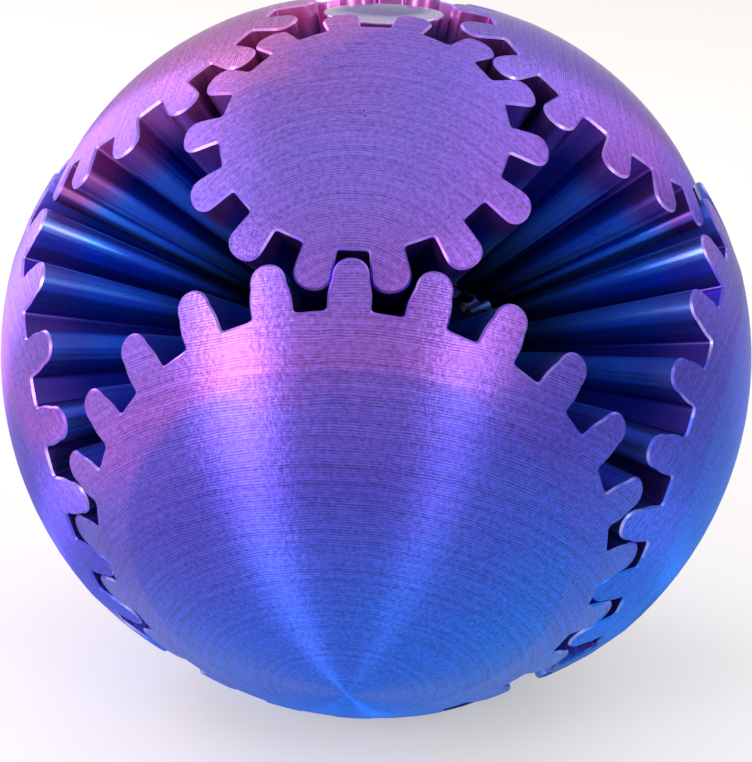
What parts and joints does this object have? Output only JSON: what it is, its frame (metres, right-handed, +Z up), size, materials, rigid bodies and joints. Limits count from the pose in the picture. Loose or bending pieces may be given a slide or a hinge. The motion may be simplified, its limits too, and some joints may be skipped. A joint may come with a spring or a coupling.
{
  "type": "gear ball desk toy",
  "caption": "Ball of meshing bevel gears on a hidden hub: turning any gear turns all the others. It stands on a small flat foot.",
  "frame": {"origin": "middle of the flat under the foot, straight below the ball's centre", "axes": "+Z up through the top cap; -Y towards the front pair of gears; +X to the right"},
  "size_m": [0.0598, 0.0598, 0.0562],
  "materials": {
    "small_gears": "anodised over fine turning marks, violet to pink",
    "big_gears": "anodised over fine turning marks, pink to deep blue",
    "caps": "anodised, smooth satin",
    "hub_steel": "turned, bare",
    "axle_steel": "ground, bare",
    "bushing_bronze": "plain bearing bronze"
  },
  "bodies": {
    "core": {"hub": "hub_steel", "top_cap": "caps", "foot_post": "hub_steel", "foot_cap": "caps", "axle_pin_small_front": "axle_steel", "thrust_washer_small_front": "axle_steel", "snap_ring_small_front": "axle_steel", "axle_pin_small_right": "axle_steel", "thrust_washer_small_right": "axle_steel", "snap_ring_small_right": "axle_steel", "axle_pin_small_back": "axle_steel", "thrust_washer_small_back": "axle_steel", "snap_ring_small_back": "axle_steel", "axle_pin_small_left": "axle_steel", "thrust_washer_small_left": "axle_steel", "snap_ring_small_left": "axle_steel", "axle_pin_big_front": "axle_steel", "thrust_washer_big_front": "axle_steel", "snap_ring_big_front": "axle_steel", "axle_pin_big_right": "axle_steel", "thrust_washer_big_right": "axle_steel", "snap_ring_big_right": "axle_steel", "axle_pin_big_back": "axle_steel", "thrust_washer_big_back": "axle_steel", "snap_ring_big_back": "axle_steel", "axle_pin_big_left": "axle_steel", "thrust_washer_big_left": "axle_steel", "snap_ring_big_left": "axle_steel"},
    "small_front_gear": {"gear_small_front": "small_gears", "bushing_small_front": "bushing_bronze"},
    "small_right_gear": {"gear_small_right": "small_gears", "bushing_small_right": "bushing_bronze"},
    "small_back_gear": {"gear_small_back": "small_gears", "bushing_small_back": "bushing_bronze"},
    "small_left_gear": {"gear_small_left": "small_gears", "bushing_small_left": "bushing_bronze"},
    "big_front_gear": {"gear_big_front": "big_gears", "bushing_big_front": "bushing_bronze"},
    "big_right_gear": {"gear_big_right": "big_gears", "bushing_big_right": "bushing_bronze"},
    "big_back_gear": {"gear_big_back": "big_gears", "bushing_big_back": "bushing_bronze"},
    "big_left_gear": {"gear_big_left": "big_gears", "bushing_big_left": "bushing_bronze"}
  },
  "joints": [
    {"name": "small_front_spin", "type": "hinge", "parent": "core", "child": "small_front_gear", "pos_m": [0, 0, 0.02805], "axis": [0, -0.6114, 0.7913], "continuous": true},
    {"name": "small_right_spin", "type": "hinge", "parent": "core", "child": "small_right_gear", "pos_m": [0, 0, 0.02805], "axis": [0.6114, 0, 0.7913], "continuous": true},
    {"name": "small_back_spin", "type": "hinge", "parent": "core", "child": "small_back_gear", "pos_m": [0, 0, 0.02805], "axis": [0, 0.6114, 0.7913], "continuous": true},
    {"name": "small_left_spin", "type": "hinge", "parent": "core", "child": "small_left_gear", "pos_m": [0, 0, 0.02805], "axis": [-0.6114, 0, 0.7913], "continuous": true},
    {"name": "big_front_spin", "type": "hinge", "parent": "core", "child": "big_front_gear", "pos_m": [0, 0, 0.02805], "axis": [0, -0.9608, -0.2773], "continuous": true},
    {"name": "big_right_spin", "type": "hinge", "parent": "core", "child": "big_right_gear", "pos_m": [0, 0, 0.02805], "axis": [0.9608, 0, -0.2773], "continuous": true},
    {"name": "big_back_spin", "type": "hinge", "parent": "core", "child": "big_back_gear", "pos_m": [0, 0, 0.02805], "axis": [0, 0.9608, -0.2773], "continuous": true},
    {"name": "big_left_spin", "type": "hinge", "parent": "core", "child": "big_left_gear", "pos_m": [0, 0, 0.02805], "axis": [-0.9608, 0, -0.2773], "continuous": true}
  ],
  "couplings": [
    {"joint": "small_front_spin", "follows": "big_front_spin", "ratio": -1.5714},
    {"joint": "small_right_spin", "follows": "big_front_spin", "ratio": 1.5714},
    {"joint": "small_back_spin", "follows": "big_front_spin", "ratio": -1.5714},
    {"joint": "small_left_spin", "follows": "big_front_spin", "ratio": 1.5714},
    {"joint": "big_right_spin", "follows": "big_front_spin", "ratio": -1},
    {"joint": "big_back_spin", "follows": "big_front_spin", "ratio": 1},
    {"joint": "big_left_spin", "follows": "big_front_spin", "ratio": -1}
  ]
}
